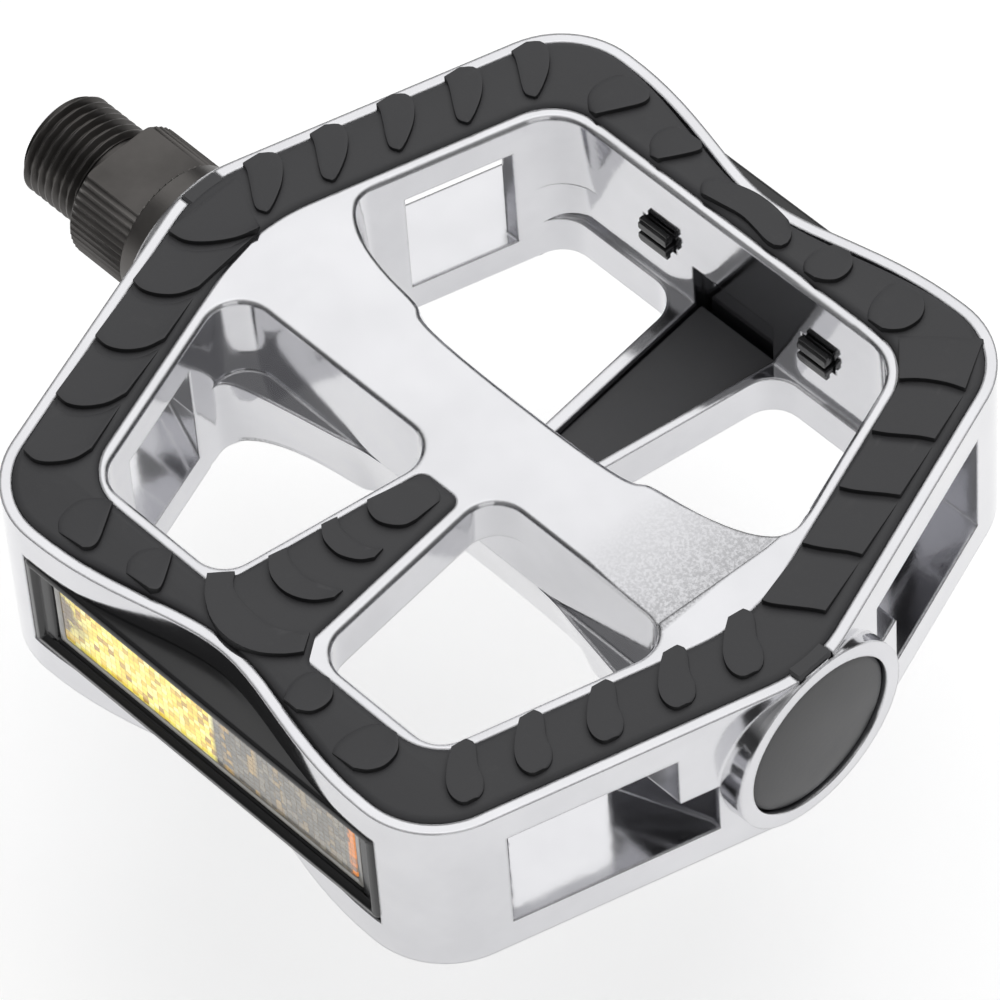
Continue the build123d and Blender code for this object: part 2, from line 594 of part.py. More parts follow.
with BuildPart() as front_reflector_backing:
    with BuildSketch(facing(backing_back)):
        Rectangle(2 * LENS_HALF_LENGTH, 2 * LENS_HALF_HEIGHT)
    extrude(amount=BACKING_THICKNESS)

with BuildPart() as rear_reflector_housing:
    add(front_reflector_housing.part.rotate(Axis.X, 180))
with BuildPart() as rear_reflector_lens:
    add(front_reflector_lens.part.rotate(Axis.X, 180))
with BuildPart() as rear_reflector_backing:
    add(front_reflector_backing.part.rotate(Axis.X, 180))

# ---------------------------------------------------------------- write the pieces
os.makedirs("parts", exist_ok=True)
pieces = {
    "body": body,
    "top_tread": top_tread,
    "bottom_tread": bottom_tread,
    "spindle": spindle,
    "inboard_seal": inboard_seal,
    "inboard_cup": inboard_cup,
    "inboard_balls": inboard_balls,
    "outboard_cup": outboard_cup,
    "outboard_balls": outboard_balls,
    "adjusting_cone": adjusting_cone,
    "tongued_washer": tongued_washer,
    "locknut": locknut,
    "dust_cap": dust_cap,
    "front_reflector_housing": front_reflector_housing,
    "front_reflector_lens": front_reflector_lens,
    "front_reflector_backing": front_reflector_backing,
    "rear_reflector_housing": rear_reflector_housing,
    "rear_reflector_lens": rear_reflector_lens,
    "rear_reflector_backing": rear_reflector_backing,
}
for label, piece in pieces.items():
    piece.part.label = label
    export_step(piece.part, f"parts/{label}.step")
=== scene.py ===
import math

import bpy
import bmesh
from mathutils import Matrix, Vector
from mathutils.geometry import tessellate_polygon


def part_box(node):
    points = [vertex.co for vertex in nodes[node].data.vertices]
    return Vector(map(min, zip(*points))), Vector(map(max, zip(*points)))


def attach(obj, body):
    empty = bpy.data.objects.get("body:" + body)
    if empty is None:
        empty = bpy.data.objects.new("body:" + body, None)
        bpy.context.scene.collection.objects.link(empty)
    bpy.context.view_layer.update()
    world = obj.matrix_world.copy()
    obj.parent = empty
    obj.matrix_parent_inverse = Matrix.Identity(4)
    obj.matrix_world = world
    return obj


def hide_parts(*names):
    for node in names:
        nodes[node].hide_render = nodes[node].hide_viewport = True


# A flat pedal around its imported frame. Shapes are in millimetres, from the shoulder on the crank along +X,
# and the scales, the rims and the reflectors are laid out from the middle of the body.
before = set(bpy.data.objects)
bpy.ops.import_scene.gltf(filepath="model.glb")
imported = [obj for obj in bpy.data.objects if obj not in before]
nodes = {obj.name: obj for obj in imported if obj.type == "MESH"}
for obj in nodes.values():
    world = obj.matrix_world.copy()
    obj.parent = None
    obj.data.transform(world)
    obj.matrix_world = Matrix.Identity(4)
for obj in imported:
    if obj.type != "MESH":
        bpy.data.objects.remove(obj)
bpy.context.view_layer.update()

MM = 0.001
SMOOTH_ANGLE = 35.0                                 # edges sharper than this stay sharp
body_low, body_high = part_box("body")
MIDDLE_X = (body_low.x + body_high.x) / 2 / MM      # middle of the body
HALF_HEIGHT = body_high.z / MM                      # top of the metal
TREAD_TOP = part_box("top_tread")[1].z / MM


# ---------------------------------------------------------------- mesh helpers
def piece(name, verts, faces, material, at=(0.0, 0.0, 0.0), smooth=True):
    """A mesh object from points in millimetres."""
    mesh = bpy.data.meshes.new(name)
    mesh.from_pydata([tuple((v[i] + at[i]) * MM for i in range(3)) for v in verts], [], faces)
    bm = bmesh.new()
    bm.from_mesh(mesh)
    bmesh.ops.remove_doubles(bm, verts=bm.verts, dist=1e-7)
    bmesh.ops.recalc_face_normals(bm, faces=bm.faces)
    bm.to_mesh(mesh)
    bm.free()
    mesh.update()
    obj = bpy.data.objects.new(name, mesh)
    bpy.context.scene.collection.objects.link(obj)
    mesh.materials.append(material)
    if smooth:
        mesh.shade_smooth()
        mesh.set_sharp_from_angle(angle=math.radians(SMOOTH_ANGLE))
    return obj


def join(name, parts):
    """One object out of several, keeping their shapes and materials."""
    target = parts[0]
    with bpy.context.temp_override(active_object=target, selected_editable_objects=parts):
        bpy.ops.object.join()
    target.name = name
    target.data.name = name
    return target


def soften(obj, width, segments=2, angle=30.0):
    """Rounds the sharp edges of an object for good."""
    mod = obj.modifiers.new("soften", "BEVEL")
    mod.width = width * MM
    mod.segments = segments
    mod.limit_method = "ANGLE"
    mod.angle_limit = math.radians(angle)
    mod.use_clamp_overlap = True
    with bpy.context.temp_override(object=obj, active_object=obj):
        bpy.ops.object.modifier_apply(modifier=mod.name)
    obj.data.shade_smooth()
    obj.data.set_sharp_from_angle(angle=math.radians(40))
    return obj


def carve(obj, tool):
    """Cuts one closed mesh out of another."""
    mod = obj.modifiers.new("carve", "BOOLEAN")
    mod.operation = "DIFFERENCE"
    mod.solver = "EXACT"
    mod.object = tool
    with bpy.context.temp_override(object=obj, active_object=obj):
        bpy.ops.object.modifier_apply(modifier=mod.name)
    bpy.data.objects.remove(tool)
    return obj


def turned(name, profile, material, segments=96, wave=None):
    """Solid of revolution about the spindle axis; profile is (x, radius), first and last on the axis."""
    verts, faces, rings = [], [], []
    for x, r in profile:
        if r <= 1e-6:
            rings.append([len(verts)])
            verts.append((x, 0.0, 0.0))
            continue
        ring = []
        for k in range(segments):
            a = 2 * math.pi * k / segments
            rr = r if wave is None else wave(x, r, a)
            ring.append(len(verts))
            verts.append((x, rr * math.cos(a), rr * math.sin(a)))
        rings.append(ring)
    for low, high in zip(rings, rings[1:]):
        for k in range(segments):
            n = (k + 1) % segments
            if len(low) == 1 and len(high) == 1:
                continue
            if len(low) == 1:
                faces.append((low[0], high[k], high[n]))
            elif len(high) == 1:
                faces.append((low[k], high[0], low[n]))
            else:
                faces.append((low[k], high[k], high[n], low[n]))
    return piece(name, verts, faces, material)


def smooth_line(points, steps=5):
    """Catmull-Rom curve through points."""
    ends = [tuple(2 * a - b for a, b in zip(points[0], points[1]))] + list(points)
    ends.append(tuple(2 * a - b for a, b in zip(points[-1], points[-2])))
    out = []
    for p0, p1, p2, p3 in zip(ends, ends[1:], ends[2:], ends[3:]):
        for s in range(steps):
            t = s / steps
            out.append(tuple(0.5 * (2 * b + (c - a) * t + (2 * a - 5 * b + 4 * c - d) * t * t
                                    + (3 * b - 3 * c + d - a) * t ** 3)
                             for a, b, c, d in zip(p0, p1, p2, p3)))
    out.append(tuple(points[-1]))
    return out


def resample(points, count):
    """The same line with evenly spaced points."""
    total = [0.0]
    for a, b in zip(points, points[1:]):
        total.append(total[-1] + math.dist(a, b))
    out, j = [], 0
    for k in range(count):
        want = total[-1] * k / (count - 1)
        while j < len(points) - 2 and total[j + 1] < want:
            j += 1
        span = max(total[j + 1] - total[j], 1e-9)
        t = min(max((want - total[j]) / span, 0.0), 1.0)
        out.append(tuple(a + (b - a) * t for a, b in zip(points[j], points[j + 1])))
    return out


def rounded(corners, radii, step=8):
    """Closed outline with its corners rounded; a radius of 0 keeps the point."""
    out, n = [], len(corners)
    for i, (p, r) in enumerate(zip(corners, radii)):
        if r <= 0:
            out.append(p)
            continue
        p = Vector(p)
        a = (Vector(corners[i - 1]) - p).normalized()
        b = (Vector(corners[(i + 1) % n]) - p).normalized()
        half = a.angle(b) / 2
        reach = r / math.tan(half)
        middle = p + (a + b).normalized() * (r / math.sin(half))
        start, end = p + a * reach - middle, p + b * reach - middle
        turn = start.angle_signed(end)
        for s in range(step + 1):
            v = start.copy()
            v.rotate(Matrix.Rotation(-turn * s / step, 2))
            out.append(tuple(middle + v))
    return out


def inset(loop, amount):
    """A closed outline moved sideways (positive: to its left when anticlockwise, so inwards)."""
    out, n = [], len(loop)
    for i, p in enumerate(loop):
        a, b = Vector(loop[i - 1]), Vector(loop[(i + 1) % n])
        before, after = (Vector(p) - a), (b - Vector(p))
        if before.length < 1e-6:
            before = after
        if after.length < 1e-6:
            after = before
        n1 = Vector((-before.y, before.x)).normalized()
        n2 = Vector((-after.y, after.x)).normalized()
        m = n1 + n2
        m = m.normalized() / max((m.normalized().dot(n1)), 0.5)
        out.append((p[0] + m.x * amount, p[1] + m.y * amount))
    return out


def plate(name, loops, levels, material, at):
    """Closed plate from outlines (the first outside, the rest holes) stacked at levels of (inset, z)."""
    verts, faces, rings = [], [], []
    for index, loop in enumerate(loops):
        mine = []
        for amount, z in levels:
            moved = inset(loop, amount if index == 0 else -amount)
            mine.append(list(range(len(verts), len(verts) + len(loop))))
            verts.extend((x, y, z) for x, y in moved)
        rings.append(mine)
        for low, high in zip(mine, mine[1:]):
            for k in range(len(loop)):
                n = (k + 1) % len(loop)
                faces.append((low[k], low[n], high[n], high[k]))
    for end in (0, -1):
        shape = [[Vector((verts[i][0], verts[i][1], 0)) for i in ring[end]] for ring in rings]
        flat = [i for ring in rings for i in ring[end]]
        for tri in tessellate_polygon(shape):
            faces.append(tuple(flat[i] for i in tri))
    return piece(name, verts, faces, material, at)


# ---------------------------------------------------------------- materials
class Nodes:
    """Short way to write a material's nodes."""

    def __init__(self, name):
        self.material = bpy.data.materials.new(name)
        self.material.use_nodes = True
        self.tree = self.material.node_tree
        self.shader = self.tree.nodes["Principled BSDF"]
        self.place = self.add("ShaderNodeTexCoord").outputs["Object"]

    def add(self, kind, inputs=None, **settings):
        node = self.tree.nodes.new(kind)
        for key, value in settings.items():
            setattr(node, key, value)
        for key, value in (inputs or {}).items():
            if isinstance(value, bpy.types.NodeSocket):
                self.tree.links.new(value, node.inputs[key])
            else:
                node.inputs[key].default_value = value
        return node

    def noise(self, scale, detail=4.0, rough=0.55, place=None):
        inputs = {"Vector": place or self.place, "Scale": scale, "Detail": detail, "Roughness": rough}
        return self.add("ShaderNodeTexNoise", inputs).outputs["Fac"]

    def stretched(self, scale):
        """Place of the point with each axis scaled, for streaks."""
        return self.add("ShaderNodeMapping", {"Vector": self.place, "Scale": scale}).outputs["Vector"]

    def remap(self, value, low, high, to_low, to_high):
        inputs = {"Value": value, "From Min": low, "From Max": high, "To Min": to_low, "To Max": to_high}
        return self.add("ShaderNodeMapRange", inputs).outputs["Result"]

    def ramp(self, value, stops):
        node = self.add("ShaderNodeValToRGB", {"Fac": value})
        ramp = node.color_ramp
        while len(ramp.elements) < len(stops):
            ramp.elements.new(0.5)
        for element, (at, colour) in zip(ramp.elements, stops):
            element.position = at
            element.color = (*colour, 1)
        return node.outputs["Color"]

    def math(self, kind, a, b=0.0):
        return self.add("ShaderNodeMath", {0: a, 1: b}, operation=kind).outputs[0]

    def mix(self, fac, a, b):
        node = self.add("ShaderNodeMix", data_type="RGBA")
        for key, value in ((0, fac), (6, a), (7, b)):
            if isinstance(value, bpy.types.NodeSocket):
                self.tree.links.new(value, node.inputs[key])
            else:
                node.inputs[key].default_value = value if key == 0 else (*value, 1)
        return node.outputs[2]

    def bump(self, height, strength, distance, normal=None):
        inputs = {"Height": height, "Strength": strength, "Distance": distance}
        if normal is not None:
            inputs["Normal"] = normal
        return self.add("ShaderNodeBump", inputs).outputs["Normal"]

    def round_edges(self, radius, samples=6):
        return self.add("ShaderNodeBevel", {"Radius": radius}, samples=samples).outputs["Normal"]

    def edges(self):
        """Above one half on outer edges, below it in hollows."""
        return self.add("ShaderNodeNewGeometry").outputs["Pointiness"]

    def set(self, **values):
        names = {"color": "Base Color", "rough": "Roughness", "metal": "Metallic", "normal": "Normal",
                 "coat": "Coat Weight", "coat_rough": "Coat Roughness", "spec": "Specular IOR Level",
                 "ior": "IOR", "clear": "Transmission Weight", "sheen": "Sheen Weight"}
        for key, value in values.items():
            socket = self.shader.inputs[names[key]]
            if isinstance(value, bpy.types.NodeSocket):
                self.tree.links.new(value, socket)
            else:
                socket.default_value = (*value, 1) if key == "color" else value
        return self.material


def cast_skin_and_dish_shade(n):
    """1 on the dished end of the spine, which keeps its sandy cast skin; its rise toward the rim also stands
    in as painted shade of the dished slope; 0 elsewhere.
    """
    spot = n.add("ShaderNodeSeparateXYZ", {"Vector": n.place})
    face = n.math("SIGN", spot.outputs["Z"])
    along = n.math("MULTIPLY", n.math("SUBTRACT", spot.outputs["X"], MIDDLE_X * MM), face)
    across = n.math("ABSOLUTE", spot.outputs["Y"])
    height = n.math("ABSOLUTE", spot.outputs["Z"])
    sand_and_dish_shade = n.math("MULTIPLY", n.remap(along, 0.020, 0.034, 0.0, 1.0),
                   n.remap(along, 0.0352, 0.0356, 1.0, 0.0))
    sand_and_dish_shade = n.math("MULTIPLY", sand_and_dish_shade, n.remap(across, 0.0145, 0.016, 1.0, 0.0))
    return n.math("MULTIPLY", sand_and_dish_shade, n.remap(height, 0.0117, 0.0121, 0.0, 1.0))


def polished_alloy():
    n = Nodes("polished_alloy")
    smudge = n.noise(60, 5)
    grain = n.noise(900, 3)
    colour = n.ramp(smudge, [(0.3, (0.64, 0.64, 0.66)), (0.7, (0.72, 0.72, 0.74))])
    rough = n.remap(smudge, 0.3, 0.7, 0.07, 0.15)
    sand_and_dish_shade = cast_skin_and_dish_shade(n)
    sand = n.noise(2400, 3, 0.7)
    # painted shade: the dish darkens toward the rim, partly its sandy cast skin and partly shade of its slope
    dull_and_shaded = n.math("MULTIPLY", sand_and_dish_shade, n.remap(sand, 0.40, 0.58, 0.35, 0.95))
    colour = n.mix(dull_and_shaded, colour, (0.36, 0.36, 0.37))
    rough = n.math("ADD", rough, n.math("MULTIPLY", sand_and_dish_shade, 0.12))
    soft = n.round_edges(0.0006)
    skin = n.bump(n.noise(240, 2), 0.06, 0.0004, soft)
    normal = n.bump(grain, 0.03, 0.0001, skin)
    return n.set(color=colour, rough=rough, metal=1.0,
                 normal=n.bump(n.math("MULTIPLY", sand, sand_and_dish_shade), 0.25, 0.00015, normal))


def black_rubber():
    n = Nodes("black_rubber")
    patches = n.noise(70, 5)
    specks = n.noise(1600, 2)
    dust = n.noise(300, 6, 0.7)
    colour = n.ramp(patches, [(0.3, (0.058, 0.058, 0.062)), (0.7, (0.080, 0.080, 0.084))])
    worn = n.remap(n.edges(), 0.52, 0.62, 0.0, 0.35)
    colour = n.mix(worn, colour, (0.13, 0.13, 0.135))
    colour = n.mix(n.remap(dust, 0.58, 0.8, 0.0, 0.25), colour, (0.11, 0.11, 0.11))
    rough = n.remap(patches, 0.3, 0.7, 0.50, 0.66)
    normal = n.bump(specks, 0.18, 0.00008, n.bump(dust, 0.10, 0.0002))
    return n.set(color=colour, rough=rough, normal=normal, spec=0.45)


def dark_steel(name, base, rough_low, rough_high, metal):
    n = Nodes(name)
    patches = n.noise(120, 5)
    turned_lines = n.noise(1500, 2, 0.5, n.stretched((0.2, 1, 1)))
    lighter = tuple(c * 1.7 + 0.01 for c in base)
    colour = n.ramp(patches, [(0.3, base), (0.72, lighter)])
    worn = n.remap(n.edges(), 0.53, 0.66, 0.0, 0.55)
    colour = n.mix(worn, colour, tuple(c * 3 + 0.06 for c in base))
    rough = n.remap(patches, 0.3, 0.7, rough_low, rough_high)
    return n.set(color=colour, rough=rough, metal=metal, normal=n.bump(turned_lines, 0.12, 0.00006))


def bright_steel(name, base, rough_low, rough_high):
    n = Nodes(name)
    patches = n.noise(200, 4)
    lines = n.noise(1800, 2, 0.5, n.stretched((6, 1, 1)))
    colour = n.ramp(patches, [(0.3, base), (0.7, tuple(min(1, c * 1.15) for c in base))])
    return n.set(color=colour, rough=n.remap(patches, 0.3, 0.7, rough_low, rough_high), metal=1.0,
                 normal=n.bump(lines, 0.10, 0.00005))


def black_plastic(name, base, rough_low, rough_high, grain):
    n = Nodes(name)
    patches = n.noise(90, 4)
    texture = n.noise(1400, 3)
    colour = n.ramp(patches, [(0.3, base), (0.7, tuple(c * 1.35 for c in base))])
    worn = n.remap(n.edges(), 0.53, 0.66, 0.0, 0.3)
    colour = n.mix(worn, colour, tuple(c * 2.5 + 0.02 for c in base))
    return n.set(color=colour, rough=n.remap(patches, 0.3, 0.7, rough_low, rough_high),
                 normal=n.bump(texture, grain, 0.0001, n.round_edges(0.0003)))


METAL = polished_alloy()
RUBBER = black_rubber()
# near-black rubber for the steep walls of the scales: painted shadow under their front edges
SCALE_WALL_SHADOW = black_plastic("rubber_scale_wall_shadow", (0.010, 0.010, 0.011), 0.60, 0.72, 0.10)
SPINDLE = dark_steel("black_oxide_steel", (0.060, 0.056, 0.053), 0.32, 0.44, 0.7)
GROUND = bright_steel("ground_steel", (0.55, 0.55, 0.57), 0.18, 0.32)
ZINC = bright_steel("zinc_plated_steel", (0.66, 0.67, 0.70), 0.22, 0.38)
CHROME = bright_steel("ball_steel", (0.80, 0.80, 0.83), 0.05, 0.12)
CAP = black_plastic("satin_black_plastic", (0.030, 0.030, 0.032), 0.34, 0.44, 0.10)
GLOSS = black_plastic("gloss_black_plastic", (0.012, 0.012, 0.013), 0.16, 0.26, 0.04)


# ---------------------------------------------------------------- casting
DISH_START, DISH_DEPTH = 21.0, 0.65
DISH_NEAR_Y, DISH_FAR_Y = -9.5, 16.0                # past both sides of the spine
TOOL_OVERLAP = 0.02                                 # cutting tools start this far outside the metal
CASTING_SMOOTH_ANGLE = 28.0


def dish_edge(y):
    """Where the dished end of the spine meets the rim."""
    return min(34.95 + 0.09 * y, 35.7)


def dish(sign):
    """Closed tool that hollows the outer end of the spine on one face."""
    rows, verts, faces = [], [], []
    steps, lines = 16, 20
    for j in range(lines + 1):
        y = DISH_NEAR_Y + (DISH_FAR_Y - DISH_NEAR_Y) * j / lines
        row = []
        for k in range(steps + 1):
            t = k / steps
            x = DISH_START + t * (dish_edge(y) - DISH_START)
            depth = (DISH_DEPTH + TOOL_OVERLAP) * (t * t * (3 - 2 * t)) ** 0.8
            row.append(len(verts))
            verts.append((x, y, HALF_HEIGHT + TOOL_OVERLAP - depth))
        row.extend((len(verts), len(verts) + 1))
        verts.append((dish_edge(y) + 0.25, y, HALF_HEIGHT + 1.0))
        verts.append((DISH_START, y, HALF_HEIGHT + 1.0))
        rows.append(row)
    for a, b in zip(rows, rows[1:]):
        for k in range(len(a)):
            n = (k + 1) % len(a)
            faces.append((a[k], a[n], b[n], b[k]))
    faces.append(tuple(rows[0]))
    faces.append(tuple(rows[-1]))
    turned_over = [(MIDDLE_X + x * sign, y * sign, z * sign) for x, y, z in verts]
    return piece("dish", turned_over, faces, METAL, smooth=False)


def casting():
    """The body, from its CAD shape, with dished spine ends and its curved walls shaded smooth."""
    source = nodes["body"].data
    verts = [tuple(c / MM for c in v.co) for v in source.vertices]
    obj = piece("casting", verts, [tuple(p.vertices) for p in source.polygons], METAL)
    for sign in (1, -1):
        carve(obj, dish(sign))
    obj.data.set_sharp_from_angle(angle=math.radians(CASTING_SMOOTH_ANGLE))
    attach(obj, "platform")
    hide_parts("body")
    return obj


casting()

# ---------------------------------------------------------------- rubber treads
OUTER_APEX, INNER_APEX, SLOPE = 51.4, 42.1, 0.321
OUTER_SIDE, INNER_SIDE = 48.5, 39.85
OUTER_APEX_R, INNER_APEX_R = 18, 24
OUTER_CORNER_R, INNER_CORNER_R = 10.5, 7.9
TONGUE_CORNER_R = 1.5
WAIST_DEPTH, WAIST_HALF = 4.4, 27.5
EDGE_STEP = 1.5                                     # spacing of points along the waist
BAND_FLOOR = HALF_HEIGHT - 1.5
BASE_TOP = HALF_HEIGHT + 0.50                       # top of the rubber between its scales
SCALE_RISE = TREAD_TOP - 0.03 - BASE_TOP            # highest edge of a scale
TAB_END, TAB_START, TAB_HALF_WIDTH = 51.85, 48.5, 2.75


def band_outline():
    """Outside of the tread, anticlockwise."""
    corner = OUTER_APEX - SLOPE * OUTER_SIDE
    loop = rounded([(OUTER_APEX, 0), (corner, OUTER_SIDE), (-corner, OUTER_SIDE), (-OUTER_APEX, 0),
                    (-corner, -OUTER_SIDE), (corner, -OUTER_SIDE)],
                   [OUTER_APEX_R, OUTER_CORNER_R, OUTER_CORNER_R] * 2, 14)
    out = []
    for i, p in enumerate(loop):
        q = loop[(i + 1) % len(loop)]
        count = max(1, int(math.dist(p, q) / EDGE_STEP))
        for s in range(count):
            out.append((p[0] + (q[0] - p[0]) * s / count, p[1] + (q[1] - p[1]) * s / count))
    dipped = []
    for x, y in out:
        t = min(abs(x) / WAIST_HALF, 1.0)
        dip = WAIST_DEPTH * (1 - 3 * t * t + 2 * t ** 3) if abs(y) > OUTER_SIDE - 0.01 else 0.0
        dipped.append((x, y - math.copysign(dip, y)))
    return dipped


def hole_outline():
    """Inside of the tread, anticlockwise, running round the tongue."""
    corner = INNER_APEX - SLOPE * INNER_SIDE
    points = [(INNER_APEX, 0), (corner, INNER_SIDE), (-corner, INNER_SIDE), (-INNER_APEX, 0),
              (-corner, -INNER_SIDE), (-8.2, -INNER_SIDE), (-6.1, -36.6), (-1.2, -11.4), (5.2, -11.4),
              (6.8, -36.6), (9.0, -INNER_SIDE), (corner, -INNER_SIDE)]
    radii = [INNER_APEX_R, INNER_CORNER_R, INNER_CORNER_R] * 2
    radii[5:5] = [TONGUE_CORNER_R] * 6
    return rounded(points, radii, 12)


def scale(front, rear, front_rise, rear_rise, at, wall=0.9, across=20, along=7):
    """One raised scale: a sheet that slopes up from its rear line to its front line, with its walls in
    near-black painted shadow.
    """
    f = resample(smooth_line(front), across)
    r = resample(smooth_line(rear), across)
    grid, verts, faces = [], [], []
    for j in range(along + 1):
        t = j / along
        row = []
        for k in range(across):
            x = r[k][0] + (f[k][0] - r[k][0]) * t
            y = r[k][1] + (f[k][1] - r[k][1]) * t
            lift = rear_rise + (front_rise - rear_rise) * (t ** 0.8)
            row.append(len(verts))
            verts.append((x, y, BASE_TOP + lift))
        grid.append(row)
    for a, b in zip(grid, grid[1:]):
        for k in range(across - 1):
            faces.append((a[k], a[k + 1], b[k + 1], b[k]))
    rim = grid[0] + [row[-1] for row in grid[1:]] + grid[-1][-2::-1] + [row[0] for row in grid[-2:0:-1]]
    foot = []
    for i in rim:
        foot.append(len(verts))
        verts.append((verts[i][0], verts[i][1], BASE_TOP - wall))
    for k in range(len(rim)):
        n = (k + 1) % len(rim)
        faces.append((rim[k], foot[k], foot[n], rim[n]))
    middle = len(verts)
    middle_x = sum(verts[i][0] for i in foot) / len(foot)
    middle_y = sum(verts[i][1] for i in foot) / len(foot)
    verts.append((middle_x, middle_y, BASE_TOP - wall))
    for k in range(len(foot)):
        faces.append((foot[k], middle, foot[(k + 1) % len(foot)]))
    obj = piece("scale", verts, faces, RUBBER, at)
    obj.data.materials.append(SCALE_WALL_SHADOW)
    # the steep walls take the near-black material: painted shadow
    for polygon in obj.data.polygons:
        if abs(polygon.normal.z) < 0.3:
            polygon.material_index = 1
    return soften(obj, 0.13, 2, 40)


def moved(points, dx, dy, size=1.0):
    return [(x * size + dx, y * size + dy) for x, y in points]


def flipped(points):
    """Mirrored to the other long side."""
    return [(x, -y) for x, y in points]


def scales():
    """Every scale of the top tread: (front line, rear line, rise at the front, rise at the rear)."""
    high = SCALE_RISE
    found = []
    # crescents down the near half of the crank end
    fronts = [[(-41.4, 0.9), (-43.4, 1.9), (-45.5, 3.2), (-47.5, 4.6), (-49.0, 5.0)],
              [(-40.9, -0.3), (-41.8, -3.0), (-43.8, -5.8), (-46.0, -7.5), (-48.5, -7.9)],
              [(-39.6, -11.2), (-40.6, -13.6), (-42.4, -15.3), (-44.4, -16.1), (-46.1, -15.9)],
              [(-36.9, -19.3), (-37.6, -21.8), (-39.2, -23.8), (-41.2, -24.8), (-43.3, -24.7)],
              [(-34.3, -28.0), (-34.9, -30.6), (-36.5, -32.8), (-38.4, -33.9), (-40.4, -33.8)],
              [(-31.3, -36.4), (-31.7, -38.8), (-33.2, -41.0), (-35.0, -42.2), (-37.1, -42.1)]]
    for rear, front in zip(fronts, fronts[1:]):
        found.append((front, moved(rear, 0.1, -0.35), high, -0.1))
    # straight-edged tiles up the far half of the outer end
    lines = [[(41.2, 1.9), (42.3, 2.3), (43.8, 3.3), (46.2, 5.0), (47.7, 5.9)],
             [(38.9, 11.0), (40.4, 11.7), (42.0, 12.7), (43.6, 13.8), (45.2, 14.6)],
             [(36.4, 19.8), (37.8, 20.5), (39.4, 21.6), (41.0, 22.8), (42.5, 23.8)],
             [(33.5, 28.3), (35.0, 29.2), (36.6, 30.4), (38.2, 31.6), (39.8, 32.5)],
             [(30.6, 36.0), (32.0, 37.4), (33.6, 38.6), (35.4, 39.6), (37.3, 40.3)],
             [(25.5, 41.0), (27.5, 42.8), (29.5, 44.6), (31.5, 46.2), (33.5, 47.2)]]
    for front, rear in zip(lines, lines[1:]):
        found.append((front, moved(rear, -0.1, 0.4), high, -0.1))
    # leaves up the far half of the crank end
    leaf_upper = [(-6.9, 5.2), (-5.6, 6.5), (-3.9, 6.1), (-2.0, 4.2), (-0.6, 1.8), (0.0, 0.3)]
    leaf_lower = [(-7.3, 3.0), (-6.2, 2.6), (-4.4, 1.4), (-2.7, 0.2), (-1.3, -0.5), (-0.1, -0.1)]
    for x, y, size in ((-41.9, 2.4, 1.05), (-39.6, 11.2, 1.0), (-37.1, 20.0, 1.0), (-34.1, 28.6, 1.0),
                       (-31.0, 37.0, 1.0)):
        found.append((moved(leaf_upper, x, y, size), moved(leaf_lower, x, y, size), high * 0.92, high * 0.70))
    # leaves down the near half of the outer end
    leaf_upper = [(-6.9, 4.9), (-5.6, 5.1), (-3.3, 3.3), (-1.5, 2.4), (-0.3, 1.2), (0.0, 0.2)]
    leaf_lower = [(-7.1, 2.8), (-5.7, 0.7), (-3.9, -1.2), (-2.1, -2.0), (-0.6, -1.7), (-0.1, -0.4)]
    for x, y, size in ((47.8, -5.5, 1.08), (45.3, -14.0, 1.0), (42.6, -23.0, 0.98), (39.8, -31.8, 1.0),
                       (37.0, -40.0, 1.0)):
        found.append((moved(leaf_lower, x, y, size), moved(leaf_upper, x, y, size), high * 0.95, high * 0.45))
    # petals along the long sides
    petals = [([(-21.5, 47.0), (-20.8, 46.2), (-20.9, 45.0), (-22.0, 43.0), (-23.2, 41.0), (-23.8, 40.0)],
               [(-25.5, 47.2), (-26.8, 46.0), (-27.3, 43.8), (-27.0, 42.0), (-26.0, 40.8), (-25.0, 40.1)]),
              ([(-11.5, 45.7), (-10.7, 45.0), (-11.0, 44.0), (-12.2, 42.0), (-13.0, 40.8), (-13.4, 40.2)],
               [(-15.5, 45.8), (-16.5, 44.5), (-16.7, 43.0), (-16.2, 41.6), (-15.4, 40.8), (-14.8, 40.2)]),
              ([(13.2, 45.8), (14.6, 44.9), (15.2, 43.4), (15.0, 41.8), (14.0, 40.7), (12.8, 40.1)],
               [(10.8, 45.6), (10.2, 44.5), (9.8, 43.0), (9.9, 41.6), (10.3, 40.8), (11.0, 40.2)]),
              ([(23.8, 47.0), (25.3, 46.0), (26.2, 44.3), (26.0, 42.2), (25.0, 40.8), (23.9, 40.1)],
               [(20.3, 47.0), (19.8, 46.0), (19.7, 44.6), (19.9, 42.9), (20.6, 41.2), (21.5, 40.2)])]
    for front, rear in petals:
        found.append((front, rear, high * 0.95, high * 0.12))
        found.append((flipped(front), flipped(rear), high * 0.95, high * 0.12))
    front = [(4.6, 44.2), (6.3, 43.0), (6.9, 41.4), (6.2, 40.4), (4.7, 40.2), (3.0, 40.5), (0.0, 40.9),
             (-3.0, 40.5), (-5.6, 40.1)]
    rear = [(3.5, 44.6), (1.5, 44.9), (-1.0, 44.9), (-3.0, 44.5), (-5.0, 43.8), (-6.6, 43.0), (-7.3, 42.0),
            (-7.0, 41.0), (-6.2, 40.2)]
    found.append((front, rear, high * 0.95, high * 0.30))
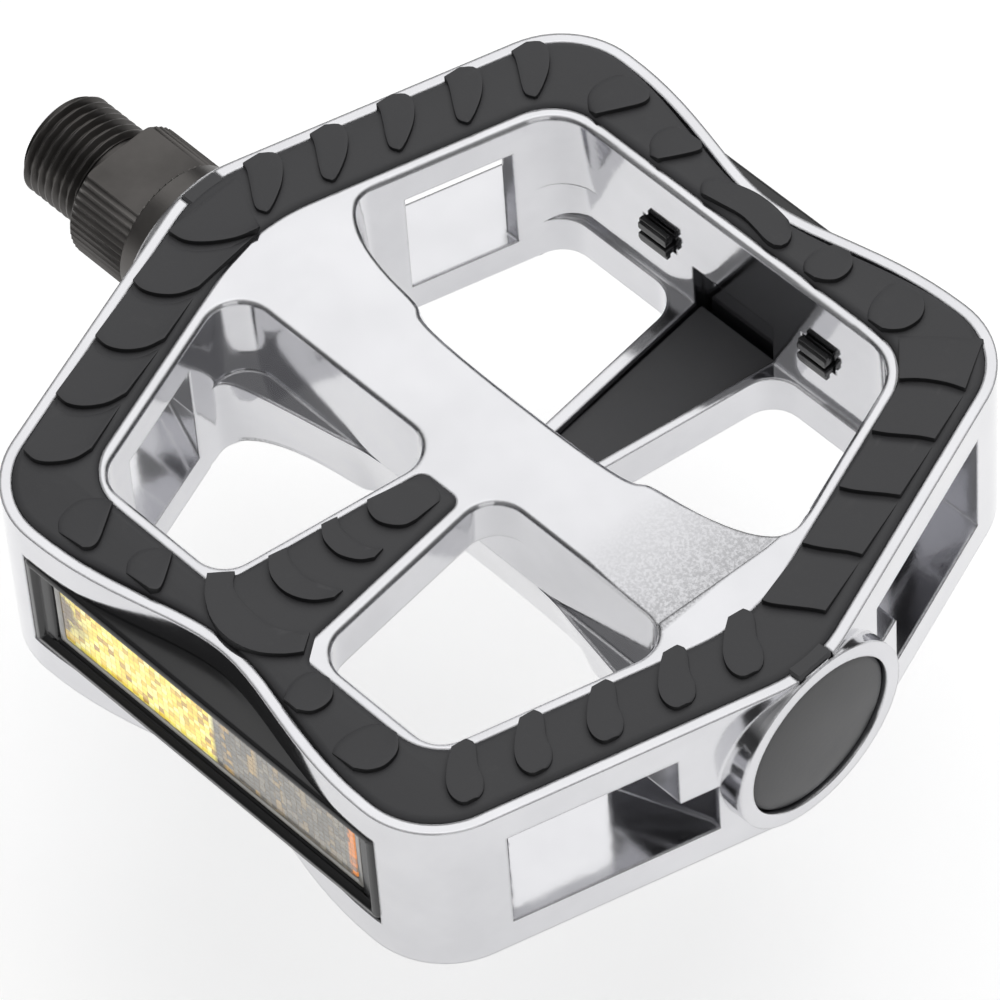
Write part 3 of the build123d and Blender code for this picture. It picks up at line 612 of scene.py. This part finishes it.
    # nested crescents on the tongue
    front = [(3.9, -17.4), (3.5, -18.9), (2.2, -20.1), (0.5, -20.7), (-1.2, -20.3), (-2.3, -19.4)]
    rear = [(3.7, -13.4), (2.9, -12.6), (1.5, -12.2), (0.2, -12.2), (-0.7, -12.7), (-1.1, -13.6)]
    found.append((front, rear, high, 0.1))
    nested = [([(4.3, -24.6), (3.3, -26.0), (1.5, -27.0), (0.0, -27.2), (-2.0, -26.8), (-3.6, -25.6)],
               [(3.9, -22.8), (2.8, -23.8), (1.4, -24.2), (0.0, -24.3), (-1.8, -24.1), (-3.3, -23.3)]),
              ([(5.0, -31.8), (3.7, -33.6), (1.8, -34.8), (-0.4, -35.2), (-2.8, -34.6), (-4.8, -33.0)],
               [(4.8, -30.2), (3.4, -31.0), (1.6, -31.6), (-0.4, -31.8), (-2.8, -31.4), (-4.4, -30.5)]),
              ([(8.0, -39.6), (6.6, -41.4), (4.0, -43.4), (0.6, -44.3), (-3.0, -43.8), (-6.2, -41.9),
                (-8.2, -39.6)],
               [(6.3, -37.0), (4.0, -38.9), (2.0, -39.5), (0.0, -39.7), (-2.2, -39.5), (-4.6, -38.8),
                (-6.3, -37.0)])]
    for front, rear in nested:
        found.append((front, rear, high, high * 0.4))
    return found


def tread(name, node, sign):
    """The rubber of one face; the other face's is the same turned through the middle of the body."""
    at = (MIDDLE_X, 0.0, 0.0)
    band_levels = [(0.0, BAND_FLOOR), (0.0, BASE_TOP - 0.55), (0.12, BASE_TOP - 0.36),
                   (0.45, BASE_TOP - 0.13), (0.95, BASE_TOP)]
    tab_levels = [(0.0, BAND_FLOOR), (0.0, BASE_TOP - 0.45), (0.3, BASE_TOP - 0.15)]
    parts = [plate(name, [band_outline(), hole_outline()], band_levels, RUBBER, at)]
    for side in (-1, 1):
        corners = [(side * TAB_END, -TAB_HALF_WIDTH), (side * TAB_END, TAB_HALF_WIDTH),
                   (side * TAB_START, TAB_HALF_WIDTH), (side * TAB_START, -TAB_HALF_WIDTH)]
        tab = rounded(corners[::side], [0.5, 0.5, 0.0, 0.0][::side], 4)
        parts.append(plate("tab", [tab], tab_levels, RUBBER, at))
    tongue = rounded([(-1.15, -11.45), (-6.1, -40.0), (6.7, -40.0), (5.15, -11.45)],
                     [TONGUE_CORNER_R, 0.3, 0.3, TONGUE_CORNER_R], 6)
    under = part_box(node)[0].z / MM if sign > 0 else -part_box(node)[1].z / MM
    under_levels = [(0.3, under + 0.02), (0.0, under + 0.3), (0.0, BASE_TOP - 0.8)]
    parts.append(plate("under", [tongue], under_levels, RUBBER, at))
    for front, rear, rise, rear_rise in scales():
        parts.append(scale(front, rear, rise, rear_rise, at))
    obj = join(name, parts)
    if sign < 0:
        obj.data.transform(Matrix.Translation((MIDDLE_X * MM, 0, 0)) @ Matrix.Scale(-1, 4)
                           @ Matrix.Translation((-MIDDLE_X * MM, 0, 0)))
        obj.data.flip_normals()
    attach(obj, "platform")
    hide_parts(node)
    return obj


tread("top_tread_rubber", "top_tread", 1)
tread("bottom_tread_rubber", "bottom_tread", -1)

# ---------------------------------------------------------------- spindle
THREAD_R, THREAD_DEPTH, PITCH = 7.144, 0.72, 1.27
spindle_low, spindle_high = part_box("spindle")
COLLAR_R, FLAT_Z = 9.3, 7.5
FLATS_END = 9.2
GROOVES, GROOVE_DEPTH = 29, 0.32                    # pairs of fine grooves round the collar, and their depth
NECK_R, THREAD_END = 6.2, -1.55
THREAD_STEP = 0.075                                 # spacing of the rings that carry the thread


def thread_wave(x, r, angle):
    """Radius of a right-hand helical thread with rounded crests."""
    phase = (x / PITCH + angle / (2 * math.pi)) % 1.0
    tooth = abs(phase - 0.5) * 2
    depth = THREAD_DEPTH * min(max((tooth - 0.14) / 0.72, 0.0), 1.0)
    return max(r - depth, 0.5) if r > THREAD_R - 0.9 else r


def serrated(_x, r, angle):
    """Fine axial grooves round the collar, outside its chamfer."""
    return r - GROOVE_DEPTH * abs(math.sin(angle * GROOVES)) ** 1.5 if r > COLLAR_R - 0.3 else r


def spindle():
    start = spindle_low.x / MM + 0.02
    end = spindle_high.x / MM
    count = int((THREAD_END - start) / THREAD_STEP)
    profile = [(start, 0.0), (start, THREAD_R - 1.3)]
    for k in range(count + 1):
        x = start + (THREAD_END - start) * k / count
        profile.append((x, min(THREAD_R, THREAD_R - 0.9 + (x - start) * 1.1)))
    profile.append((THREAD_END, 0.0))
    thread = turned("spindle_steel", profile, SPINDLE, 96, thread_wave)
    neck = turned("neck", [(THREAD_END - 0.2, 0), (THREAD_END - 0.2, NECK_R), (-0.35, NECK_R), (0.05, 6.6),
                           (0.05, 0)], SPINDLE)
    grip = turned("grip", [(0.0, 0), (0.0, COLLAR_R - 0.75), (0.12, COLLAR_R - 0.35), (0.5, COLLAR_R),
                           (FLATS_END + 0.2, COLLAR_R), (FLATS_END + 0.2, 0)], SPINDLE, 8 * GROOVES, serrated)
    for side in (-1, 1):
        block = [(x, y, z) for x in (-0.5, FLATS_END) for y in (-12, 12) for z in (side * FLAT_Z, side * 14)]
        faces = [(0, 1, 3, 2), (4, 6, 7, 5), (0, 4, 5, 1), (2, 3, 7, 6), (0, 2, 6, 4), (1, 5, 7, 3)]
        carve(grip, piece("block", block, faces, SPINDLE, smooth=False))
    grip.data.shade_smooth()
    grip.data.set_sharp_from_angle(angle=math.radians(30))
    collar = turned("collar", [(FLATS_END, 0), (FLATS_END, COLLAR_R - 0.25), (FLATS_END + 0.25, COLLAR_R),
                               (17.4, COLLAR_R), (17.4, 0)], SPINDLE, 128)
    shaft = turned("shaft", [(17.3, 0), (17.3, 8.2), (18.0, 6.8), (19.4, 6.26), (30, 6.26), (45, 4.9),
                             (100.3, 4.9), (100.8, 3.98), (end - 0.6, 3.98), (end - 0.02, 3.4),
                             (end - 0.02, 0)], SPINDLE)
    obj = join("spindle_steel", [thread, neck, grip, collar, shaft])
    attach(obj, "spindle_assembly")
    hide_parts("spindle")


spindle()

# ---------------------------------------------------------------- bearings and nuts keep their CAD shape
for node, material in (("inboard_seal", RUBBER), ("inboard_cup", GROUND), ("outboard_cup", GROUND),
                       ("inboard_balls", CHROME), ("outboard_balls", CHROME), ("adjusting_cone", GROUND),
                       ("tongued_washer", ZINC), ("locknut", ZINC)):
    for slot in nodes[node].material_slots:
        slot.material = material

# ---------------------------------------------------------------- dust cap
cap_low, cap_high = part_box("dust_cap")


def dust_cap():
    r = cap_high.z / MM
    face = cap_high.x / MM
    back = cap_low.x / MM
    profile = [(face - 0.01, 0)]
    for k in range(1, 15):
        t = k / 14
        profile.append((face - 0.01 - 0.55 * t ** 2.2, (r - 0.75) * t))
    profile += [(face - 0.66, r - 0.5), (face - 0.8, r - 0.25), (face - 1.0, r - 0.08),
                (face - 1.25, r - 0.01), (back + 0.3, r - 0.01), (back, r - 0.3), (back, r - 1.2),
                (face - 1.9, r - 1.2), (face - 1.9, 0)]
    obj = turned("dust_cap_disc", profile, CAP, 128)
    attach(obj, "platform")
    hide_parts("dust_cap")


dust_cap()

# ---------------------------------------------------------------- reflectors
CLIP_X, CLIP_Z = (-12.4, 14.4), 2.0                 # where the two snap clips stand
PRONG_OFFSET, BARB_OFFSET = 0.98, 1.75              # up and down from the middle of a clip
HOUSING_DEPTH = 8.4
LENS_RIM_WIDTH = 1.1
PRISMS = 1100.0                                     # moulded cells in the lens, per metre


def lens_plastic():
    """Moulded prisms: rows of small cells glowing with painted light, bright amber on one half as light sent
    back by the prisms, and smoky on the unlit other half.
    """
    n = Nodes("reflector_plastic")
    split = n.add("ShaderNodeSeparateXYZ", {"Vector": n.place})
    across = n.math("SUBTRACT", split.outputs["X"], MIDDLE_X * MM)
    facing = n.add("ShaderNodeMath", {0: split.outputs["Y"]}, operation="SIGN").outputs[0]
    along = n.math("MULTIPLY", across, facing)
    half = n.remap(along, -0.0014, -0.0006, 0.0, 1.0)
    grid = {"Vector": n.place, "Scale": PRISMS, "Randomness": 0.25}
    cells = n.add("ShaderNodeTexVoronoi", grid, feature="F1")
    edges = n.add("ShaderNodeTexVoronoi", grid, feature="DISTANCE_TO_EDGE")
    tone = n.add("ShaderNodeSeparateColor", {"Color": cells.outputs["Color"]}).outputs[0]
    patch = n.noise(420, 3)
    lit_amber = n.ramp(tone, [(0.0, (0.40, 0.20, 0.02)), (0.20, (0.88, 0.60, 0.04)), (0.50, (1.0, 0.84, 0.09)),
                           (1.0, (1.0, 0.93, 0.36))])
    dim = n.math("MULTIPLY", n.remap(along, 0.0195, 0.0235, 0.0, 1.0), n.remap(patch, 0.42, 0.55, 1.0, 0.35))
    lit_amber = n.mix(dim, lit_amber, (0.10, 0.06, 0.02))
    # painted glints: columns of amber flecks fade out over the smoky half, and its far end is painted orange
    unlit_smoky = n.ramp(tone, [(0.0, (0.085, 0.078, 0.066)), (0.6, (0.13, 0.125, 0.11)),
                          (1.0, (0.20, 0.18, 0.14))])
    columns = n.remap(n.math("SINE", n.math("MULTIPLY", along, 1450.0)), 0.1, 0.9, 0.0, 1.0)
    fade = n.remap(along, -0.016, -0.003, 0.25, 1.0)
    glint_fleck = n.math("MULTIPLY", n.math("MULTIPLY", n.remap(tone, 0.45, 0.62, 0.0, 1.0), columns), fade)
    unlit_smoky = n.mix(n.math("MULTIPLY", glint_fleck, 0.6), unlit_smoky, (0.55, 0.32, 0.05))
    far_end = n.math("MULTIPLY", n.remap(along, -0.0240, -0.0236, 1.0, 0.0),
                     n.remap(tone, 0.3, 0.5, 0.2, 0.9))
    unlit_smoky = n.mix(far_end, unlit_smoky, (0.75, 0.22, 0.02))
    colour = n.mix(half, unlit_smoky, lit_amber)
    groove = n.remap(edges.outputs["Distance"], 0.0, 0.10, 0.0, 1.0)
    colour = n.mix(n.remap(groove, 0.0, 1.0, 0.45, 0.0), colour, (0.20, 0.13, 0.05))
    # painted glow: the lens emits its own colour though it is no lamp
    n.tree.links.new(colour, n.shader.inputs["Emission Color"])
    n.shader.inputs["Emission Strength"].default_value = 0.62
    return n.set(color=colour, rough=0.22, normal=n.bump(groove, 0.35, 0.00015), coat=1.0, coat_rough=0.04)


def frame_plastic():
    n = Nodes("reflector_rim_plastic")
    patches = n.noise(300, 3)
    colour = n.ramp(patches, [(0.3, (0.30, 0.29, 0.27)), (0.7, (0.42, 0.41, 0.38))])
    return n.set(color=colour, rough=0.2, normal=n.bump(patches, 0.05, 0.0001), coat=0.6)


LENS = lens_plastic()
LENS_RIM = frame_plastic()
BACKING = black_plastic("backing_plastic", (0.55, 0.50, 0.36), 0.4, 0.5, 0.05)
for node in ("front_reflector_backing", "rear_reflector_backing"):
    for slot in nodes[node].material_slots:
        slot.material = BACKING


def box_loop(half_x, half_z, radius, step=5, at=(0.0, 0.0)):
    """Rounded rectangle, always with the same number of points."""
    corners = [(half_x, -half_z), (half_x, half_z), (-half_x, half_z), (-half_x, -half_z)]
    return [(x + at[0], z + at[1]) for x, z in rounded(corners, [radius] * 4, step)]


def placed(verts, sign):
    """Points of a reflector on its own side of the pedal; the rear one is the front one turned over."""
    return [(MIDDLE_X + x, y * sign, z * sign) for x, y, z in verts]


def flat_ring(name, outer, inner, levels_out, levels_in, sign, material):
    """Picture frame standing on XZ, from two outlines with their own edge profiles of (inset, y)."""
    loops = [[(x, y, z) for x, z in inset(outer, amount)] for amount, y in levels_out]
    loops += [[(x, y, z) for x, z in inset(inner, amount)] for amount, y in levels_in]
    verts = [point for loop in loops for point in loop]
    faces = []
    n = len(outer)
    for j in range(len(loops)):
        m = (j + 1) % len(loops)
        for k in range(n):
            w = (k + 1) % n
            faces.append((j * n + k, j * n + w, m * n + w, m * n + k))
    return piece(name, placed(verts, sign), faces, material)


def slab(name, loop, y_back, y_front, edge, sign, material):
    """Closed slab standing on XZ, its front edge broken."""
    levels = [(0.0, y_back), (0.0, y_front - edge), (edge, y_front)]
    verts, faces, rings = [], [], []
    for amount, y in levels:
        rings.append(list(range(len(verts), len(verts) + len(loop))))
        verts.extend((x, y, z) for x, z in inset(loop, amount))
    for low, high in zip(rings, rings[1:]):
        for k in range(len(loop)):
            n = (k + 1) % len(loop)
            faces.append((low[k], low[n], high[n], high[k]))
    faces.append(tuple(rings[0]))
    faces.append(tuple(rings[-1]))
    return piece(name, placed(verts, sign), faces, material)


def clips(tip, back, sign):
    """Snap clips, each of two prongs with a barb."""
    parts = []
    for x in CLIP_X:
        for z in (CLIP_Z + PRONG_OFFSET, CLIP_Z - PRONG_OFFSET):
            loop = box_loop(2.35, 0.6, 0.25, 3, (x, z))
            parts.append(slab("prong", loop, tip + 0.02, back + 0.4, 0.15, sign, GLOSS))
        for z in (CLIP_Z + BARB_OFFSET, CLIP_Z - BARB_OFFSET):
            loop = box_loop(2.35, 0.45, 0.2, 3, (x, z))
            parts.append(slab("barb", loop, tip + 0.25, tip + 0.9, 0.12, sign, GLOSS))
    return parts


def housing(side, sign, lens_x, lens_z):
    """Black frame with a floor behind the lens and two snap clips."""
    low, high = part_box(side + "_reflector_housing")
    half_x = (high.x - low.x) / 2 / MM
    half_z = high.z / MM
    front = max(abs(low.y), abs(high.y)) / MM
    tip = min(abs(low.y), abs(high.y)) / MM
    back = front - HOUSING_DEPTH
    outer = box_loop(half_x - 0.02, half_z - 0.02, 1.0)
    inner = box_loop(lens_x + 0.03, lens_z + 0.03, 0.5)
    outer_levels = [(0.0, back), (0.0, front - 0.6), (0.15, front - 0.25), (0.5, front - 0.02),
                    (1.15, front - 0.02), (1.45, front - 0.30), (1.65, front - 0.75), (2.0, front - 0.80)]
    inner_levels = [(-0.35, front - 0.85), (-0.15, front - 0.95), (0.0, front - 1.2), (0.0, back)]
    parts = [flat_ring(side + "_frame", outer, inner, outer_levels, inner_levels, sign, GLOSS)]
    floor_loop = box_loop(half_x - 1.2, half_z - 1.2, 1.0)
    parts.append(slab(side + "_floor", floor_loop, back + 0.02, back + 1.6, 0.1, sign, GLOSS))
    parts += clips(tip, back, sign)
    obj = join(side + "_housing_shell", parts)
    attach(obj, "platform")
    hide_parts(side + "_reflector_housing")


def lens(side, sign, lens_x, lens_z, back, front):
    """Prism plate and the clear rim round it."""
    plate_loop = box_loop(lens_x - LENS_RIM_WIDTH, lens_z - LENS_RIM_WIDTH, 0.4)
    obj = slab(side + "_lens", plate_loop, back + 0.65, front - 0.08, 0.15, sign, LENS)
    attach(obj, "platform")
    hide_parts(side + "_reflector_lens")
    outer = box_loop(lens_x - 0.02, lens_z - 0.02, 0.5)
    inner = box_loop(lens_x - LENS_RIM_WIDTH + 0.02, lens_z - LENS_RIM_WIDTH + 0.02, 0.4)
    outer_levels = [(0.0, back + 0.02), (0.0, front - 0.25), (0.2, front - 0.01)]
    inner_levels = [(-0.3, front - 0.01), (-0.1, front - 0.12), (0.0, front - 0.4), (0.0, back + 0.02)]
    rim = flat_ring(side + "_lens_rim", outer, inner, outer_levels, inner_levels, sign, LENS_RIM)
    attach(rim, "platform")


def reflector(side, sign):
    """One reflector; sign is +1 on the +Y side and -1 on the other."""
    low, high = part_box(side + "_reflector_lens")
    lens_x = (high.x - low.x) / 2 / MM
    lens_z = high.z / MM
    front = max(abs(low.y), abs(high.y)) / MM
    back = min(abs(low.y), abs(high.y)) / MM
    housing(side, sign, lens_x, lens_z)
    lens(side, sign, lens_x, lens_z, back, front)


reflector("front", 1)
reflector("rear", -1)


# ---------------------------------------------------------------- stage, light and camera
FLOOR_HALF_SIZE, FLOOR_DROP, FLOOR_GLOW = 4000.0, 53.5, 0.56
SKY = [(0.0, 0.75), (0.46, 0.62), (0.52, 0.06), (0.66, 0.04), (0.78, 0.30), (0.94, 0.22), (1.0, 0.75)]
def floor():
    """Wide pale floor, low enough for the platform to turn above it."""
    n = Nodes("pale_floor")
    paper = n.noise(3, 2)
    n.shader.inputs["Emission Color"].default_value = (1.0, 1.0, 1.0, 1.0)
    n.shader.inputs["Emission Strength"].default_value = FLOOR_GLOW
    colour = n.ramp(paper, [(0.2, (0.90, 0.90, 0.90)), (0.8, (0.94, 0.94, 0.94))])
    material = n.set(color=colour, rough=0.9, normal=n.bump(paper, 0.02, 0.001))
    size, z = FLOOR_HALF_SIZE, -FLOOR_DROP
    corners = [(-size, -size, z), (size, -size, z), (size, size, z), (-size, size, z)]
    piece("pale_floor", corners, [(0, 1, 2, 3)], material)


def lamp(name, place, aim, size, power, colour=(1.0, 1.0, 1.0)):
    data = bpy.data.lights.new(name, "AREA")
    data.shape = "RECTANGLE"
    data.size, data.size_y = size
    data.energy = power
    data.color = colour
    obj = bpy.data.objects.new(name, data)
    bpy.context.scene.collection.objects.link(obj)
    obj.location = place
    obj.rotation_euler = (Vector(aim) - Vector(place)).to_track_quat("-Z", "Y").to_euler()


def studio():
    """Soft sky, dark at the horizon for contrast in the metal, with a large key lamp and a small fill."""
    world = bpy.data.worlds.new("studio")
    bpy.context.scene.world = world
    world.use_nodes = True
    tree = world.node_tree
    ground = tree.nodes["Background"]
    place = tree.nodes.new("ShaderNodeTexCoord")
    split = tree.nodes.new("ShaderNodeSeparateXYZ")
    ramp = tree.nodes.new("ShaderNodeValToRGB")
    tree.links.new(place.outputs["Generated"], split.inputs[0])
    height = tree.nodes.new("ShaderNodeMapRange")
    height.inputs["From Min"].default_value = -1
    tree.links.new(split.outputs["Z"], height.inputs["Value"])
    tree.links.new(height.outputs["Result"], ramp.inputs["Fac"])
    tree.links.new(ramp.outputs["Color"], ground.inputs["Color"])
    while len(ramp.color_ramp.elements) < len(SKY):
        ramp.color_ramp.elements.new(0.5)
    for element, (at, level) in zip(ramp.color_ramp.elements, SKY):
        element.position = at
        element.color = (level, level, level, 1)
    ground.inputs["Strength"].default_value = 1.0
    aim = (MIDDLE_X * MM, 0, 0)
    lamp("key", (-0.20, 0.42, 0.75), aim, (1.1, 1.1), 3.7)
    lamp("fill", (0.75, -0.35, 0.40), aim, (0.5, 0.5), 0.6)


def camera():
    """Long lens from high over the near outer corner."""
    azimuth, elevation, roll = (math.radians(v) for v in (48.852, 53.434, -4.417))
    shift = Vector((0.518, 1.485, -994.481))
    flat = math.cos(elevation)
    back = Vector((math.sin(azimuth) * flat, -math.cos(azimuth) * flat, math.sin(elevation)))
    right = Vector((math.cos(azimuth), math.sin(azimuth), 0))
    up = back.cross(right)
    c, s = math.cos(roll), math.sin(roll)
    rows = Matrix((right * c + up * s, up * c - right * s, back))
    data = bpy.data.cameras.new("camera")
    data.sensor_width = 36
    data.lens = 300.91
    data.clip_start, data.clip_end = 0.05, 20
    obj = bpy.data.objects.new("camera", data)
    bpy.context.scene.collection.objects.link(obj)
    place = -(rows.transposed() @ shift) + Vector((MIDDLE_X, 0, 0))
    obj.matrix_world = Matrix.Translation(place * MM) @ rows.transposed().to_4x4()
    bpy.context.scene.camera = obj


floor()
studio()
camera()
bpy.context.scene.view_settings.view_transform = "Standard"
